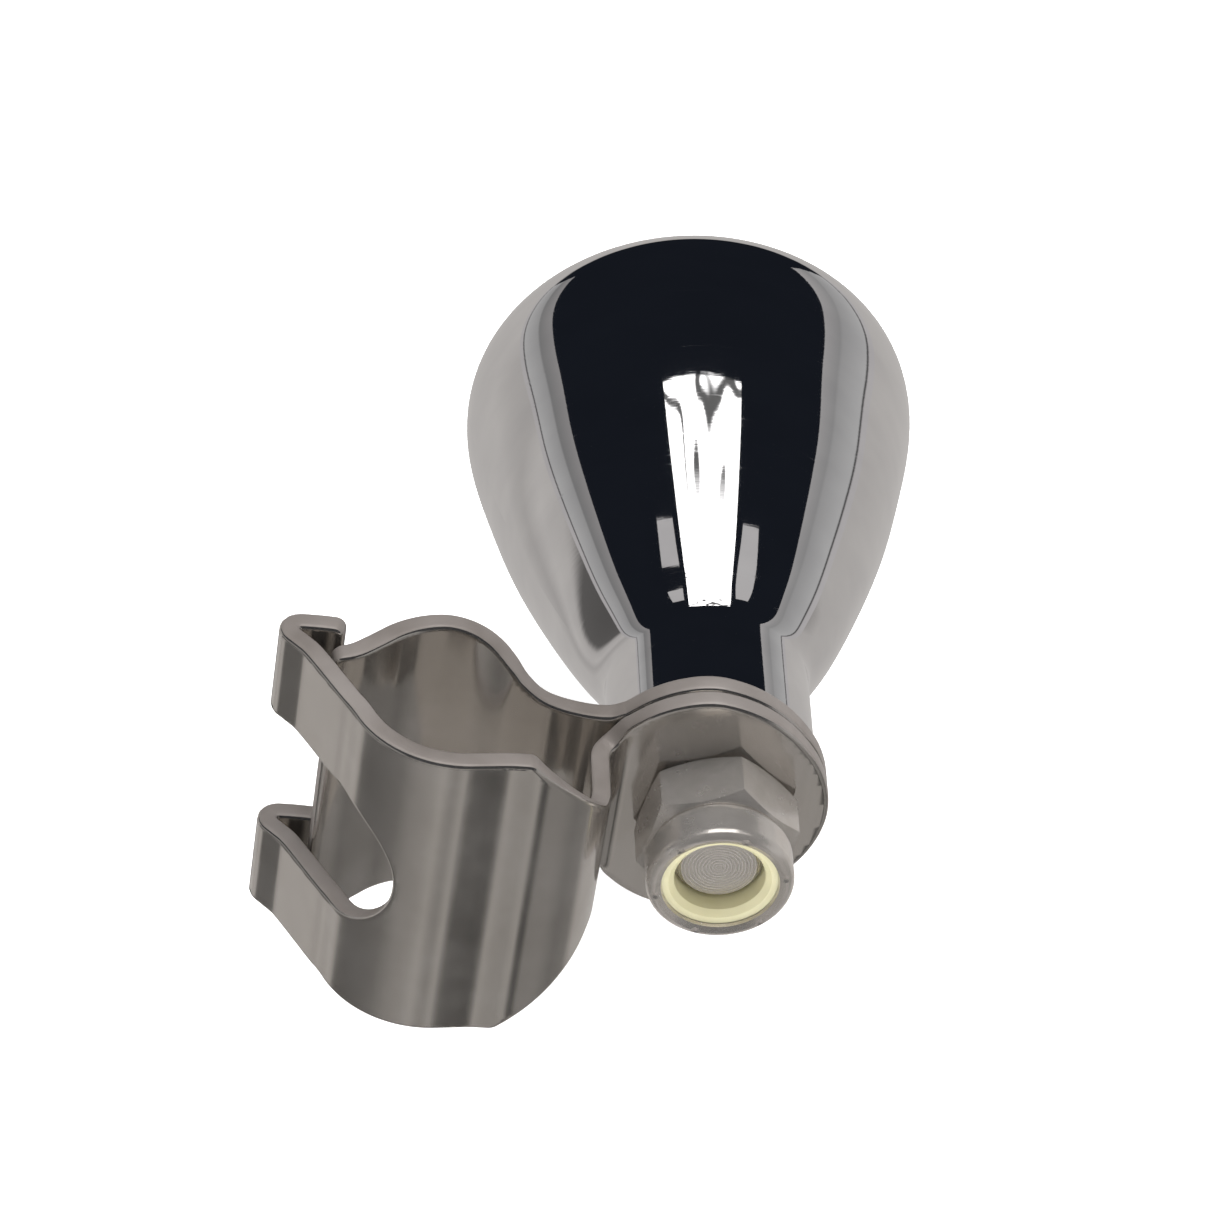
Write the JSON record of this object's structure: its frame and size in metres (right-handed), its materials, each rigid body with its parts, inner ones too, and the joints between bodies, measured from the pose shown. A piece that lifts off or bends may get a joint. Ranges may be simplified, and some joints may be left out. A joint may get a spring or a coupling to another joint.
{
  "type": "clamp-on steering wheel spinner knob",
  "caption": "Polished stainless pear-shaped spinner knob on a hinged two-jaw rim clamp, closed by a nylon-insert lock nut.",
  "frame": {"origin": "centre of the clamped rim, midway along the jaws", "axes": "+Z along the rim, +Y towards the knob's crown, +X from the rim out to the spindle"},
  "size_m": [0.0611, 0.0758, 0.042],
  "materials": {
    "polished_steel": "mirror-polished stainless steel with faint turning scratches",
    "spring_steel": "plain spring steel",
    "bushing_nylon": "natural nylon",
    "sleeve_aluminium": "turned",
    "washer_steel": "turned",
    "turned_steel": "turned, with fine concentric tool marks on its end",
    "jaw_steel": "polished stainless sheet",
    "nut_steel": "polished stainless",
    "insert_nylon": "cream nylon"
  },
  "bodies": {
    "clamp": {"back_jaw": "jaw_steel", "seat_washer": "washer_steel", "spindle": "turned_steel"},
    "knob": {"knob_shell": "polished_steel", "retaining_ring": "spring_steel", "lower_bushing": "bushing_nylon", "spacer_sleeve": "sleeve_aluminium", "upper_bushing": "bushing_nylon", "thrust_washer": "washer_steel", "thrust_pad": "bushing_nylon"},
    "swing_jaw": {"front_jaw": "jaw_steel"},
    "nut": {"lock_nut": "nut_steel", "lock_nut_insert": "insert_nylon"}
  },
  "joints": [
    {"name": "knob_spin", "type": "hinge", "parent": "clamp", "child": "knob", "pos_m": [0.0245, 0.0079, 0], "axis": [0, 1, 0], "continuous": true},
    {"name": "nut_back_off", "type": "slide", "parent": "clamp", "child": "nut", "axis": [0, -1, 0], "range_m": [0, 0.0032]},
    {"name": "jaw_open", "type": "hinge", "parent": "clamp", "child": "swing_jaw", "pos_m": [-0.0125, 0.0052, 0], "axis": [0, 0, -1], "range_deg": [0, 4.1]}
  ],
  "couplings": [
    {"joint": "jaw_open", "follows": "nut_back_off", "rad_per_m": 22}
  ]
}
